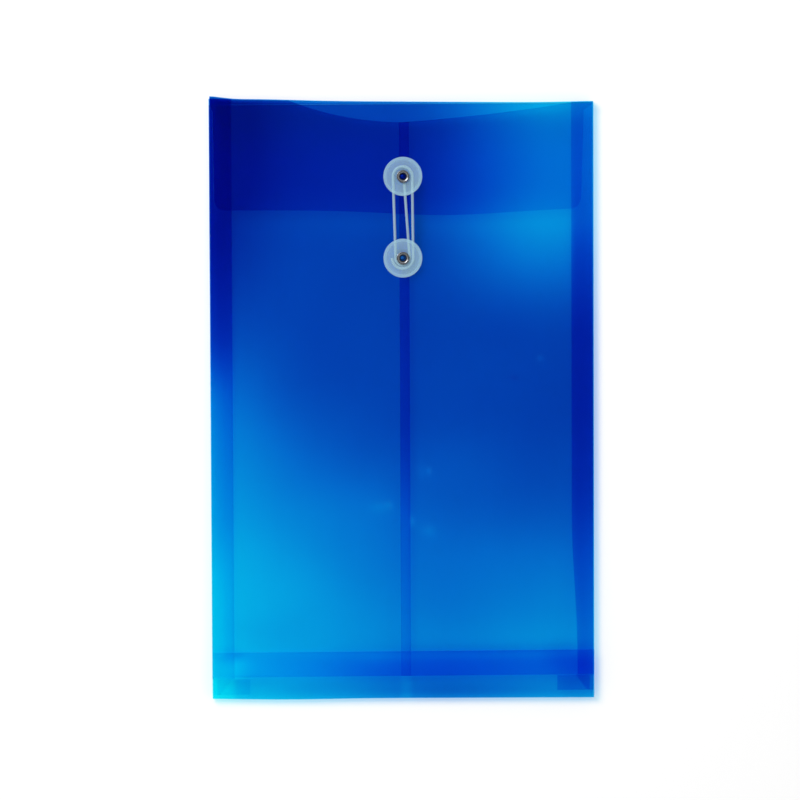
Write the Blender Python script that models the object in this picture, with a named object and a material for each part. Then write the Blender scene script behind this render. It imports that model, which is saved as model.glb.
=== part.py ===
"""Expanding document envelope of translucent film, closed by an elastic cord wound on two buttons.

The envelope lies on its back: X across, +Y towards the flap, +Z up through the layers.
Each creased panel of the film is its own object, hung on an empty that stands on its crease.
"""

import math

import bmesh
import bpy
import numpy as np
from mathutils import Vector

# Driving sizes, in metres
BODY_WIDTH = 0.250
BODY_LENGTH = 0.390
FILM = 0.0003
CLEAR = 0.0003  # gap that layers and fitted pieces keep
POCKET_HEIGHT = 0.0056  # room between the back panel and the lower front panel

GUSSET_DEPTH = 0.015
MOUTH_SIDE_DROP = 0.005  # mouth edge below the top fold, beside the gussets
MOUTH_CENTRE_DROP = 0.0156  # and at the bottom of its arc
SEAM_OVERLAP = 0.007

FLAP_LENGTH = 0.0762  # top fold to free edge, on the centre line
FLAP_BOW = 0.0039  # how far the free edge's ends lie back from its middle
FLAP_INSET_FOLD = 0.002  # flap's side edge inside the body's, at the fold
FLAP_INSET_END = 0.009  # and at the free edge
FLAP_CORNER_RADIUS = 0.006

BOTTOM_FLAP_LENGTH = 0.030
BOTTOM_WELD = 0.0163  # how far the bottom flap covers the front panels
CORNER_TAB_WIDTH = 0.025

UPPER_BUTTON_DROP = 0.0508  # button centres below the top fold
LOWER_BUTTON_DROP = 0.1036
DISC_RADIUS = 0.013
DISC_THICKNESS = 0.0009
DISC_EDGE = 0.00025  # chamfer of the disc's edge
DISC_RIM_WIDTH = 0.0016
DISC_DISH = 0.00015  # how far the face lies below the rim
SPACER_RADIUS = 0.0033
SPACER_HEIGHT = 0.0032
EYELET_BORE_RADIUS = 0.0018
EYELET_WALL = 0.0003
EYELET_FLANGE_RADIUS = 0.0041
EYELET_FLANGE_THICKNESS = 0.0005
CLINCH_RADIUS = 0.0034
CLINCH_THICKNESS = 0.0003
WASHER_RADIUS = 0.006
WASHER_THICKNESS = 0.0003

CORD_DIAMETER = 0.0018
CORD_TURN_GAP = 0.0005  # between two turns on one spacer
UPPER_LOOP_RADIUS = 0.0062  # slack loop of cord over the upper spacer
CORD_START_ANGLE = -78.0  # degrees round the upper spacer, where the cord is fixed
CORD_END_ANGLE = -165.0  # degrees round the lower spacer, where the last turn ends

# Fineness of the round forms
CREASE_STEPS = 10
MOUTH_STEPS = 14
EDGE_STEPS = 16
CORNER_STEPS = 5
RING_STEPS = 48
TURN_STEP = 15.0  # degrees between a winding's points, 24 to a loop
STRAND_STEP = 0.005

# Layers, from the back panel up
HALF_WIDTH = BODY_WIDTH / 2
TOP_Y = BODY_LENGTH / 2
BOTTOM_Y = -TOP_Y
LEFT_Z = FILM + POCKET_HEIGHT
RIGHT_Z = LEFT_Z + FILM + CLEAR
FRONT_TOP_Z = RIGHT_Z + FILM
BOTTOM_FLAP_Z = FRONT_TOP_Z + CLEAR
UNDER_FILM = CLEAR + WASHER_THICKNESS + CLEAR + CLINCH_THICKNESS
FLAP_Z = FRONT_TOP_Z + CLEAR + UNDER_FILM
FLAP_TOP_Z = FLAP_Z + FILM

# Creases: half pipes of film that carry one panel over to the next
TOP_CREASE_RADIUS = FLAP_TOP_Z / 2
BOTTOM_CREASE_RADIUS = (BOTTOM_FLAP_Z + FILM) / 2
TOP_AXIS = Vector((0, TOP_Y - TOP_CREASE_RADIUS, TOP_CREASE_RADIUS))
BOTTOM_AXIS = Vector((0, BOTTOM_Y + BOTTOM_CREASE_RADIUS, BOTTOM_CREASE_RADIUS))

# Edges that several panels share
FRONT_BOTTOM_Y = BOTTOM_Y + BOTTOM_FLAP_LENGTH - BOTTOM_WELD
MOUTH_SIDE_Y = TOP_Y - MOUTH_SIDE_DROP
MOUTH_HALF_WIDTH = HALF_WIDTH - GUSSET_DEPTH
UPPER_Y = TOP_Y - UPPER_BUTTON_DROP
LOWER_Y = TOP_Y - LOWER_BUTTON_DROP

# Fits of the buttons
BARREL_RADIUS = EYELET_BORE_RADIUS + EYELET_WALL
BORE_RADIUS = BARREL_RADIUS + CLEAR
DISC_LIFT = CLEAR + SPACER_HEIGHT + CLEAR  # disc's underside above the film
CORD_LIFT = SPACER_HEIGHT - CORD_DIAMETER / 2  # cord's centre line above the film
INNER_TURN = SPACER_RADIUS + CLEAR + CORD_DIAMETER / 2
OUTER_TURN = INNER_TURN + CORD_DIAMETER + CORD_TURN_GAP


def clear_scene():
    for ob in list(bpy.data.objects):
        bpy.data.objects.remove(ob, do_unlink=True)


def make_material(name, colour, roughness, metallic=0.0):
    material = bpy.data.materials.new(name)
    material.use_nodes = True
    shader = material.node_tree.nodes["Principled BSDF"]
    shader.inputs["Base Color"].default_value = (*colour, 1.0)
    shader.inputs["Roughness"].default_value = roughness
    shader.inputs["Metallic"].default_value = metallic
    return material


def make_pivot(name, point, parent=None):
    """An empty on a joint's axis, which carries the pieces that turn there."""
    pivot = bpy.data.objects.new(name, None)
    pivot["point"] = tuple(point)
    bpy.context.collection.objects.link(pivot)
    pivot.location = point
    if parent is not None:
        pivot.parent = parent
        pivot.location = Vector(point) - Vector(parent["point"])
    return pivot


def place(name, data, material, pivot=None):
    """Makes the named object from data in world places, and hangs it on its pivot."""
    ob = bpy.data.objects.new(name, data)
    data.materials.append(material)
    bpy.context.collection.objects.link(ob)
    if pivot is not None:
        ob.parent = pivot
        ob.location = -Vector(pivot["point"])
    return ob


def mesh_from(bm, name):
    bmesh.ops.recalc_face_normals(bm, faces=bm.faces)
    mesh = bpy.data.meshes.new(name)
    bm.to_mesh(mesh)
    bm.free()
    return mesh


def swept(name, section, way):
    """A closed solid: the flat outline section, drawn along way."""
    bm = bmesh.new()
    face = bm.faces.new([bm.verts.new(p) for p in section])
    grown = bmesh.ops.extrude_face_region(bm, geom=[face])
    moved = [v for v in grown["geom"] if isinstance(v, bmesh.types.BMVert)]
    bmesh.ops.translate(bm, verts=moved, vec=way)
    return mesh_from(bm, name)


def sheet(name, outline, z):
    """A flat panel of film over an outline of (x, y) points, its underside at z."""
    return swept(name, [(x, y, z) for x, y in outline], (0, 0, FILM))


def turned(name, profile, centre):
    """A ring turned round a vertical axis through centre, from a closed profile of (radius, z)."""
    x, y = centre
    bm = bmesh.new()
    corners = [bm.verts.new((x + r, y, z)) for r, z in profile]
    edges = [bm.edges.new(pair) for pair in zip(corners, corners[1:] + corners[:1])]
    bmesh.ops.spin(
        bm,
        geom=corners + edges,
        cent=(x, y, 0),
        axis=(0, 0, 1),
        angle=2 * math.pi,
        steps=RING_STEPS,
        use_merge=True,
    )
    mesh = mesh_from(bm, name)
    mesh.shade_smooth()
    mesh.set_sharp_from_angle(angle=math.radians(35))
    return mesh


def punch(ob, centre, pivot=None):
    """Cuts the eyelet's hole through a panel of film."""
    bm = bmesh.new()
    bmesh.ops.create_cone(
        bm,
        cap_ends=True,
        segments=RING_STEPS,
        radius1=BORE_RADIUS,
        radius2=BORE_RADIUS,
        depth=BODY_WIDTH,
    )
    bmesh.ops.translate(bm, verts=bm.verts, vec=(*centre, 0))
    cutter = bpy.data.objects.new(ob.name + "_hole", mesh_from(bm, ob.name + "_hole"))
    bpy.context.collection.objects.link(cutter)
    cutter.hide_render = True
    cutter.display_type = "WIRE"
    if pivot is not None:
        cutter.parent = pivot
        cutter.location = -Vector(pivot["point"])
    cut = ob.modifiers.new("eyelet hole", "BOOLEAN")
    cut.operation = "DIFFERENCE"
    cut.solver = "EXACT"
    cut.object = cutter


def mouth_y(x):
    """The front panels' top edge: an arc between the gussets, level over them."""
    dip = MOUTH_CENTRE_DROP - MOUTH_SIDE_DROP
    radius = (MOUTH_HALF_WIDTH**2 + dip**2) / (2 * dip)
    reach = min(abs(x), MOUTH_HALF_WIDTH)
    return TOP_Y - MOUTH_CENTRE_DROP + radius - math.sqrt(radius**2 - reach**2)


def front_outline(side):
    """One half of the front, on side -1 or 1, running past the centre line by half the seam."""
    seam_x = -side * SEAM_OVERLAP / 2
    outer_x = side * HALF_WIDTH
    arc_x = side * MOUTH_HALF_WIDTH
    steps = [arc_x + (seam_x - arc_x) * i / MOUTH_STEPS for i in range(MOUTH_STEPS + 1)]
    top = [(outer_x, MOUTH_SIDE_Y)] + [(x, mouth_y(x)) for x in steps]
    return top + [(seam_x, FRONT_BOTTOM_Y), (outer_x, FRONT_BOTTOM_Y)]


def flap_outline():
    """The flap: sides drawn in towards a bowed free edge with rounded corners."""
    fold_x = HALF_WIDTH - FLAP_INSET_FOLD
    fold_y = TOP_AXIS.y - CLEAR
    end_x = HALF_WIDTH - FLAP_INSET_END
    end_y = TOP_Y - FLAP_LENGTH + FLAP_BOW
    right = []
    for i in range(CORNER_STEPS + 1):
        turn = math.pi / 2 * i / CORNER_STEPS
        x = end_x - FLAP_CORNER_RADIUS * (1 - math.cos(turn))
        y = end_y + FLAP_CORNER_RADIUS * (1 - math.sin(turn))
        right.append((x, y))
    flat_x = end_x - FLAP_CORNER_RADIUS
    edge = []
    for i in range(1, EDGE_STEPS):
        x = flat_x * (1 - 2 * i / EDGE_STEPS)
        edge.append((x, end_y - FLAP_BOW * (1 - (x / flat_x) ** 2)))
    left = [(-x, y) for x, y in reversed(right)]
    return [(-fold_x, fold_y), (fold_x, fold_y)] + right + edge + left


def rectangle(x0, x1, y0, y1):
    return [(x0, y0), (x1, y0), (x1, y1), (x0, y1)]


def crease(name, axis, radius, facing, half_width):
    """A half pipe of film bulging towards facing (1 or -1 along Y) round a crease's axis."""
    section = []
    for r, steps in (
        (radius, range(CREASE_STEPS + 1)),
        (radius - FILM, range(CREASE_STEPS, -1, -1)),
    ):
        for i in steps:
            turn = math.pi * i / CREASE_STEPS - math.pi / 2
            y = axis.y + facing * r * math.cos(turn)
            section.append((-half_width, y, axis.z + r * math.sin(turn)))
    return swept(name, section, (2 * half_width, 0, 0))


def gusset(name, side, outer_z, inner_z):
    """One half of a side gusset: a slanted panel from the body's edge in to the inner crease."""
    outer_x = side * (HALF_WIDTH - CLEAR)
    inner_x = side * MOUTH_HALF_WIDTH
    section = [
        (outer_x, FRONT_BOTTOM_Y, outer_z),
        (inner_x, FRONT_BOTTOM_Y, inner_z),
        (inner_x, FRONT_BOTTOM_Y, inner_z + FILM),
        (outer_x, FRONT_BOTTOM_Y, outer_z + FILM),
    ]
    return swept(name, section, (0, MOUTH_SIDE_Y - FRONT_BOTTOM_Y, 0))


def corner_tab_outline(side):
    """The gusset's folded-in tail under the bottom flap, cut off at a slant on its inner corner."""
    low_y = BOTTOM_AXIS.y + CLEAR
    high_y = FRONT_BOTTOM_Y - CLEAR
    outer_x = side * (HALF_WIDTH - CLEAR)
    inner_x = side * (HALF_WIDTH - CORNER_TAB_WIDTH)
    slant_x = inner_x + side * (high_y - low_y)
    return [(outer_x, low_y), (slant_x, low_y), (inner_x, high_y), (outer_x, high_y)]


def disc_profile(z):
    bottom = [(BORE_RADIUS, z), (DISC_RADIUS - DISC_EDGE, z), (DISC_RADIUS, z + DISC_EDGE)]
    top_z = z + DISC_THICKNESS
    inner = DISC_RADIUS - DISC_RIM_WIDTH
    rim = [
        (DISC_RADIUS, top_z - DISC_EDGE),
        (DISC_RADIUS - DISC_EDGE, top_z),
        (inner, top_z),
        (inner - DISC_DISH, top_z - DISC_DISH),
    ]
    return bottom + rim + [(BORE_RADIUS, top_z - DISC_DISH)]


def ring_profile(inner, outer, low, high):
    return [(inner, low), (outer, low), (outer, high), (inner, high)]


def eyelet_profile(clinch_z, flange_z):
    """Clinched foot, barrel and rolled flange, round an open bore."""
    roll = EYELET_FLANGE_THICKNESS / 2
    top_z = flange_z + EYELET_FLANGE_THICKNESS
    return [
        (EYELET_BORE_RADIUS, clinch_z),
        (CLINCH_RADIUS, clinch_z),
        (CLINCH_RADIUS, clinch_z + CLINCH_THICKNESS),
        (BARREL_RADIUS, clinch_z + CLINCH_THICKNESS),
        (BARREL_RADIUS, flange_z),
        (EYELET_FLANGE_RADIUS, flange_z),
        (EYELET_FLANGE_RADIUS, flange_z + roll),
        (EYELET_FLANGE_RADIUS - roll, top_z),
        (BARREL_RADIUS + roll, top_z),
        (EYELET_BORE_RADIUS, top_z - roll),
    ]


def button(which, centre, under_z, top_z, carrier, disc_pivot, materials):
    """Spacer, disc, eyelet and backing washer, clamped on film that reaches from under_z to top_z."""
    spacer_z = top_z + CLEAR
    disc_z = top_z + DISC_LIFT
    flange_z = disc_z + DISC_THICKNESS + CLEAR
    washer_z = under_z - CLEAR - WASHER_THICKNESS
    clinch_z = under_z - UNDER_FILM
    pieces = {
        "spacer": (
            ring_profile(BORE_RADIUS, SPACER_RADIUS, spacer_z, spacer_z + SPACER_HEIGHT),
            materials["button"],
            carrier,
        ),
        "disc": (disc_profile(disc_z), materials["button"], disc_pivot),
        "eyelet": (eyelet_profile(clinch_z, flange_z), materials["eyelet"], carrier),
        "washer": (
            ring_profile(BORE_RADIUS, WASHER_RADIUS, washer_z, washer_z + WASHER_THICKNESS),
            materials["button"],
            carrier,
        ),
    }
    for piece, (profile, material, pivot) in pieces.items():
        name = f"{which}_{piece}"
        place(name, turned(name, profile, centre), material, pivot)


def round_turn(centre, radius, z, start, end):
    """Points of a clockwise turn of cord from one angle in degrees down to another."""
    count = max(2, math.ceil((start - end) / TURN_STEP))
    points = []
    for i in range(count + 1):
        turn = math.radians(start + (end - start) * i / count)
        x = centre[0] + radius * math.cos(turn)
        y = centre[1] + radius * math.sin(turn)
        points.append(Vector((x, y, z)))
    return points


def strand(start, end):
    """Points strictly between the ends of a straight stretch of cord."""
    count = max(2, round((end - start).length / STRAND_STEP))
    return [start.lerp(end, i / count) for i in range(1, count)]


def cord_route():
    """The cord's centre line: fixed on the upper spacer, down and under the lower one, up and over
    the upper one, and down again to a second turn outside the first."""
    upper = (0.0, UPPER_Y)
    lower = (0.0, LOWER_Y)
    upper_z = FLAP_TOP_Z + CORD_LIFT
    lower_z = FRONT_TOP_Z + CORD_LIFT
    span = UPPER_Y - LOWER_Y

    turn = math.radians(CORD_START_ANGLE)
    out = Vector((math.cos(turn), math.sin(turn), 0))
    fixed = Vector((*upper, upper_z)) + out * (SPACER_RADIUS + CLEAR)
    free = fixed + out * CORD_DIAMETER

    # Angles at which the straight strands leave the turns
    reach = Vector((free.x - lower[0], free.y - lower[1]))
    first = math.degrees(math.atan2(reach.y, reach.x) - math.acos(INNER_TURN / reach.length))
    left = 180 - math.degrees(math.asin((INNER_TURN - UPPER_LOOP_RADIUS) / span))
    right = math.degrees(math.asin((OUTER_TURN - UPPER_LOOP_RADIUS) / span))

    under = round_turn(lower, INNER_TURN, lower_z, first, left - 360)
    over = round_turn(upper, UPPER_LOOP_RADIUS, upper_z, left, right)
    last = round_turn(lower, OUTER_TURN, lower_z, right, CORD_END_ANGLE)
    end_turn = math.radians(CORD_END_ANGLE)
    end_way = Vector((math.sin(end_turn), -math.cos(end_turn), 0))
    tail = [last[-1] + end_way * CORD_DIAMETER]

    route = [fixed, free] + strand(free, under[0]) + under
    route += strand(under[-1], over[0]) + over
    route += strand(over[-1], last[0]) + last + tail
    return route


def least_gap(route):
    """The least clear distance between stretches of the cord that aren't neighbours along it."""
    fine = []
    for a, b in zip(route, route[1:]):
        count = max(1, math.ceil((b - a).length / (CORD_DIAMETER / 6)))
        fine += [a.lerp(b, i / count) for i in range(count)]
    points = np.array([tuple(p) for p in fine])
    steps = np.linalg.norm(np.diff(points, axis=0), axis=1)
    along = np.concatenate(([0.0], np.cumsum(steps)))
    apart = np.linalg.norm(points[:, None] - points[None, :], axis=2)
    apart[np.abs(along[:, None] - along[None, :]) < 4 * CORD_DIAMETER] = np.inf
    return float(apart.min()) - CORD_DIAMETER, float(along[-1])


def cord_data(name, route):
    """One unbroken tube along the route."""
    curve = bpy.data.curves.new(name, "CURVE")
    curve.dimensions = "3D"
    curve.bevel_depth = CORD_DIAMETER / 2
    curve.bevel_resolution = 1
    curve.use_fill_caps = True
    spline = curve.splines.new("POLY")
    spline.points.add(len(route) - 1)
    for point, place_at in zip(spline.points, route):
        point.co = (*place_at, 1.0)
    return curve


def build():
    clear_scene()
    materials = {
        "film": make_material("blue film", (0.004, 0.12, 0.52), 0.25),
        "button": make_material("milky plastic", (0.72, 0.78, 0.82), 0.4),
        "eyelet": make_material("plated eyelet", (0.62, 0.63, 0.62), 0.3, 1.0),
        "cord": make_material("white elastic", (0.8, 0.83, 0.86), 0.8),
    }
    film = materials["film"]
    flap_fold = make_pivot("flap_fold_axis", TOP_AXIS)
    mouth_gape = make_pivot("mouth_gape_axis", BOTTOM_AXIS)
    upper_spin = make_pivot("upper_disc_axis", (0, UPPER_Y, FLAP_TOP_Z), flap_fold)
    lower_spin = make_pivot("lower_disc_axis", (0, LOWER_Y, FRONT_TOP_Z), mouth_gape)

    # Back, with the creases at its two ends
    back_ends = (BOTTOM_AXIS.y + CLEAR, TOP_AXIS.y - CLEAR)
    back = rectangle(-HALF_WIDTH, HALF_WIDTH, *back_ends)
    place("back_panel", sheet("back_panel", back, 0), film)
    flap_half = HALF_WIDTH - FLAP_INSET_FOLD
    place("top_crease", crease("top_crease", TOP_AXIS, TOP_CREASE_RADIUS, 1, flap_half), film)
    bottom = crease("bottom_crease", BOTTOM_AXIS, BOTTOM_CREASE_RADIUS, -1, HALF_WIDTH)
    place("bottom_crease", bottom, film)

    # Front, in two halves that overlap at the seam, and the bottom flap welded over it
    for name, side, z in (("front_left_panel", -1, LEFT_Z), ("front_right_panel", 1, RIGHT_Z)):
        half = place(name, sheet(name, front_outline(side), z), film, mouth_gape)
        punch(half, (0, LOWER_Y), mouth_gape)
    band = rectangle(-HALF_WIDTH, HALF_WIDTH, back_ends[0], BOTTOM_Y + BOTTOM_FLAP_LENGTH)
    place("bottom_flap", sheet("bottom_flap", band, BOTTOM_FLAP_Z), film, mouth_gape)
    tab_z = BOTTOM_FLAP_Z - CLEAR - FILM

    # Gussets, each in two halves with an open inner crease between them
    for name, side, front_z in (("left", -1, LEFT_Z), ("right", 1, RIGHT_Z)):
        low_z = FILM + CLEAR
        high_z = front_z - CLEAR - FILM
        middle_z = (low_z + high_z + FILM) / 2
        low = gusset(f"{name}_gusset_back", side, low_z, middle_z - CLEAR / 2 - FILM)
        high = gusset(f"{name}_gusset_front", side, high_z, middle_z + CLEAR / 2)
        place(low.name, low, film)
        place(high.name, high, film, mouth_gape)
        tab = sheet(f"{name}_corner_tab", corner_tab_outline(side), tab_z)
        place(tab.name, tab, film, mouth_gape)

    # Flap
    flap = place("closure_flap", sheet("closure_flap", flap_outline(), FLAP_Z), film, flap_fold)
    punch(flap, (0, UPPER_Y), flap_fold)

    # Buttons and the cord
    button("upper", (0, UPPER_Y), FLAP_Z, FLAP_TOP_Z, flap_fold, upper_spin, materials)
    button("lower", (0, LOWER_Y), LEFT_Z, FRONT_TOP_Z, mouth_gape, lower_spin, materials)
    route = cord_route()
    place("elastic_cord", cord_data("elastic_cord", route), materials["cord"], flap_fold)
    gap, length = least_gap(route)
    print(f"cord: {length * 1000:.1f} mm long, least gap to itself {gap * 1000:.2f} mm")


build()
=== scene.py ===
"""Expanding document envelope of translucent blue film, closed by a cord wound on two buttons.

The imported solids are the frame. The stage and the cord come first, then each operator dresses one
group of the frame's pieces.
"""

import math

import bmesh
import bpy
import numpy as np
from bpy.props import FloatProperty, FloatVectorProperty, PointerProperty
from bpy.types import Operator, Panel, PropertyGroup
from mathutils import Matrix, Quaternion, Vector


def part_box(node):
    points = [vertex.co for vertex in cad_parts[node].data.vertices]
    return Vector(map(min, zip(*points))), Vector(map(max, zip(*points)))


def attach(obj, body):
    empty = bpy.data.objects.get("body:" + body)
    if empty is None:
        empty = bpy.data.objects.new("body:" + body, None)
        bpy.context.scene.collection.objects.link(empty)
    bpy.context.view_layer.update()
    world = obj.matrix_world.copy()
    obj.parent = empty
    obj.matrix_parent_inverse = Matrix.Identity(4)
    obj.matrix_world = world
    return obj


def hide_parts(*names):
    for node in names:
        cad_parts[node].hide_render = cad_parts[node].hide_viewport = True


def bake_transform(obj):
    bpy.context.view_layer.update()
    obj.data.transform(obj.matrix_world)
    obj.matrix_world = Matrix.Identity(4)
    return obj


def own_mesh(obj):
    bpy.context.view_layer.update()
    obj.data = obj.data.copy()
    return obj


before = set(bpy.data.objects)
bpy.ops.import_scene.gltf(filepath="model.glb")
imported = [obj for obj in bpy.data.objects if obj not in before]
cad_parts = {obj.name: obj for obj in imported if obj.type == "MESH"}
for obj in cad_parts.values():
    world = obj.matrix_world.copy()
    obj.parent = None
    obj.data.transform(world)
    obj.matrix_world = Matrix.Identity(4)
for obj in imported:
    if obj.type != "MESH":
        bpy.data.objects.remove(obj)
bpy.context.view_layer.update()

bl_info = {
    "name": "Button and cord envelope",
    "version": (1, 0, 0),
    "blender": (4, 5, 0),
    "location": "View3D > Sidebar > Envelope",
    "description": "Dresses the packed envelope with film, buttons and cord",
    "category": "Object",
}

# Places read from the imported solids
BACK_LOW, BACK_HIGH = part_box("back_panel")
LEFT_LOW, LEFT_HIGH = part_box("front_left_panel")
RIGHT_LOW, RIGHT_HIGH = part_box("front_right_panel")
BAND_LOW, BAND_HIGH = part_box("bottom_flap")
FLAP_LOW, FLAP_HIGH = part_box("closure_flap")
TOP_LOW, TOP_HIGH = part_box("top_crease")
BOTTOM_LOW, BOTTOM_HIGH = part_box("bottom_crease")
TAB_LOW, TAB_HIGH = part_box("right_corner_tab")

FILM = BACK_HIGH.z - BACK_LOW.z
HALF_FILM = FILM / 2
HALF_WIDTH = BACK_HIGH.x
TOP_Y = TOP_HIGH.y
BOTTOM_Y = BOTTOM_LOW.y
TOP_RADIUS = (TOP_HIGH.z - TOP_LOW.z) / 2
BOTTOM_RADIUS = (BOTTOM_HIGH.z - BOTTOM_LOW.z) / 2
TOP_AXIS = (TOP_Y - TOP_RADIUS, TOP_LOW.z + TOP_RADIUS)
BOTTOM_AXIS = (BOTTOM_Y + BOTTOM_RADIUS, BOTTOM_LOW.z + BOTTOM_RADIUS)
MOUTH_HALF_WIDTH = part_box("right_gusset_back")[0].x
SIDES = ((-1, "left", LEFT_LOW), (1, "right", RIGHT_LOW))


def middle(node):
    """The middle of a solid's box."""
    low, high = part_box(node)
    return (low + high) / 2


UPPER = middle("upper_disc")
LOWER = middle("lower_disc")
BUTTONS = (("upper", UPPER, "flap"), ("lower", LOWER, "front"))


LENGTH = {"unit": "LENGTH", "precision": 5}
COLOUR = {"subtype": "COLOR", "size": 3, "min": 0, "max": 1}


class EnvelopeFilm(PropertyGroup):
    """Form and colour of the film."""

    wave: FloatProperty(
        name="Wave",
        description="How far the film's slow waves rise and fall",
        default=0.0006,
        **LENGTH,
    )
    dent: FloatProperty(
        name="Dent",
        description="Depth of the small dents in the front",
        default=0.0008,
        **LENGTH,
    )
    mouth_drop: FloatProperty(
        name="Mouth drop",
        description="How far the middle of the mouth's arc lies below its ends",
        default=0.0130,
        **LENGTH,
    )
    seam: FloatProperty(
        name="Seam",
        description="How far the front's halves overlap",
        default=0.0066,
        **LENGTH,
    )
    flap_bow: FloatProperty(
        name="Flap bow",
        description="How far the ends of the flap's free edge lie back from its middle",
        default=0.0039,
        **LENGTH,
    )
    flap_inset: FloatProperty(
        name="Flap inset",
        description="Flap's side edge inside the body's, at the free edge",
        default=0.009,
        **LENGTH,
    )
    flap_cut: FloatProperty(
        name="Flap cut",
        description="How far the flap's sides are cut in just below the fold",
        default=0.0060,
        **LENGTH,
    )
    pale: FloatVectorProperty(
        name="Pale tint",
        description="What one face of the film lets through where its colour is thinnest",
        default=(0.30, 0.958, 0.981),
        **COLOUR,
    )
    middle: FloatVectorProperty(
        name="Middle tint",
        description="What one face of the film lets through half way between pale and deep",
        default=(0.26, 0.755, 0.926),
        **COLOUR,
    )
    deep: FloatVectorProperty(
        name="Deep tint",
        description="What one face of the film lets through where its colour is deepest",
        default=(0.22, 0.540, 0.842),
        **COLOUR,
    )
    over: FloatVectorProperty(
        name="Over tint",
        description="Blue that one face lets through where it lies over other film, pale to deep",
        default=(0.992, 0.971, 0.916),
        size=3,
        min=0,
        max=1,
    )
    skin: FloatVectorProperty(
        name="Skin",
        description="Colour of the faint haze on the film's faces",
        default=(0.01, 0.17, 0.62),
        **COLOUR,
    )


class EnvelopeFastening(PropertyGroup):
    """Colours and sizes of the buttons and the cord."""

    plastic: FloatVectorProperty(
        name="Button plastic",
        description="Colour of the milky discs, spacers and washers",
        default=(0.37, 0.60, 0.68),
        **COLOUR,
    )
    metal: FloatVectorProperty(
        name="Eyelet plating",
        description="Colour of the plated eyelets",
        default=(0.28, 0.29, 0.31),
        **COLOUR,
    )
    yarn: FloatVectorProperty(
        name="Cord yarn",
        description="Colour of the braided cover of the cord",
        default=(0.27, 0.41, 0.55),
        **COLOUR,
    )
    cord_diameter: FloatProperty(
        name="Cord diameter",
        description="Thickness of the elastic cord",
        default=0.0018,
        **LENGTH,
    )


class EnvelopeStage(PropertyGroup):
    """Camera, light and floor."""

    lens: FloatProperty(
        name="Lens",
        description="Focal length of the camera",
        default=250.0,
        unit="CAMERA",
    )
    view_width: FloatProperty(
        name="View width",
        description="Width of the camera's view at the envelope",
        default=0.5178,
        **LENGTH,
    )
    aside: FloatProperty(
        name="Aside",
        description="How far the camera hangs to the left of the envelope's middle, as an angle",
        default=math.radians(4.5),
        subtype="ANGLE",
    )
    above: FloatProperty(
        name="Above",
        description="How far the camera hangs above the envelope's middle, as an angle",
        default=math.radians(4.3),
        subtype="ANGLE",
    )
    roll: FloatProperty(
        name="Roll",
        description="How far the envelope leans in the picture",
        default=math.radians(0.24),
        subtype="ANGLE",
    )
    key: FloatProperty(
        name="Key light",
        description="Power of the lamp at the upper left",
        default=54.0,
        unit="POWER",
    )
    sides: FloatVectorProperty(
        name="Sides",
        description="Soft light from round about",
        default=(0.70, 0.70, 0.70),
        **COLOUR,
    )
    overhead: FloatVectorProperty(
        name="Overhead",
        description="Soft light from straight above",
        default=(0.07, 0.07, 0.07),
        **COLOUR,
    )
    floor: FloatVectorProperty(
        name="Floor",
        description="Colour of the floor",
        default=(0.86, 0.86, 0.86),
        **COLOUR,
    )
    lift: FloatVectorProperty(
        name="Lift",
        description="Light that the floor adds for the camera, so that it shows as white",
        default=(0.15, 0.15, 0.15),
        **COLOUR,
    )


class Wire:
    """A socket of a material's nodes: arithmetic on it adds the Math nodes."""

    def __init__(self, socket):
        self.socket = socket

    @classmethod
    def node(cls, tree, kind, settings=None, sockets=None, output=0):
        """Adds a node, sets it up, then fills or links its sockets, and wraps one of its outputs."""
        made = tree.nodes.new(kind)
        for name, value in (settings or {}).items():
            setattr(made, name, value)
        for key, value in (sockets or {}).items():
            if isinstance(value, Wire):
                tree.links.new(value.socket, made.inputs[key])
            else:
                made.inputs[key].default_value = value
        return None if output is None else cls(made.outputs[output])

    def maths(self, operation, *values, clamp=False):
        """A Math node on those values."""
        settings = {"operation": operation, "use_clamp": clamp}
        return Wire.node(self.socket.id_data, "ShaderNodeMath", settings, dict(enumerate(values)))

    def __add__(self, other):
        return self.maths("ADD", self, other)

    def __sub__(self, other):
        return self.maths("SUBTRACT", self, other)

    def __mul__(self, other):
        return self.maths("MULTIPLY", self, other)

    def __pow__(self, other):
        return self.maths("POWER", self, other)

    def __radd__(self, other):
        return self.maths("ADD", other, self)

    def __rsub__(self, other):
        return self.maths("SUBTRACT", other, self)

    def __rmul__(self, other):
        return self.maths("MULTIPLY", other, self)

    def __rpow__(self, other):
        return self.maths("POWER", other, self)

    def clamped(self):
        return self.maths("ADD", self, 0.0, clamp=True)

    def ramp(self, low, high):
        """0 below low, 1 above high, and smooth between them."""
        settings = {"interpolation_type": "SMOOTHSTEP"}
        sockets = {"Value": self, "From Min": low, "From Max": high}
        return Wire.node(self.socket.id_data, "ShaderNodeMapRange", settings, sockets)

    def between(self, first, second):
        """A colour from first to second as this value goes from 0 to 1."""
        settings = {"data_type": "RGBA"}
        sockets = {0: self, 6: colour4(first), 7: colour4(second)}
        return Wire.node(self.socket.id_data, "ShaderNodeMix", settings, sockets, output=2)

    def scaled(self, factors):
        """This vector, times factors along each axis."""
        settings = {"operation": "MULTIPLY"}
        return Wire.node(
            self.socket.id_data, "ShaderNodeVectorMath", settings, {0: self, 1: factors}
        )

    def noise(self, scale, detail=2.0, roughness=0.5):
        """Soft noise over this vector."""
        sockets = {"Vector": self, "Scale": scale, "Detail": detail, "Roughness": roughness}
        return Wire.node(self.socket.id_data, "ShaderNodeTexNoise", None, sockets)

    def bump(self, strength, distance):
        """A normal that this height gives."""
        sockets = {"Height": self, "Strength": strength, "Distance": distance}
        return Wire.node(self.socket.id_data, "ShaderNodeBump", None, sockets)


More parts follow.
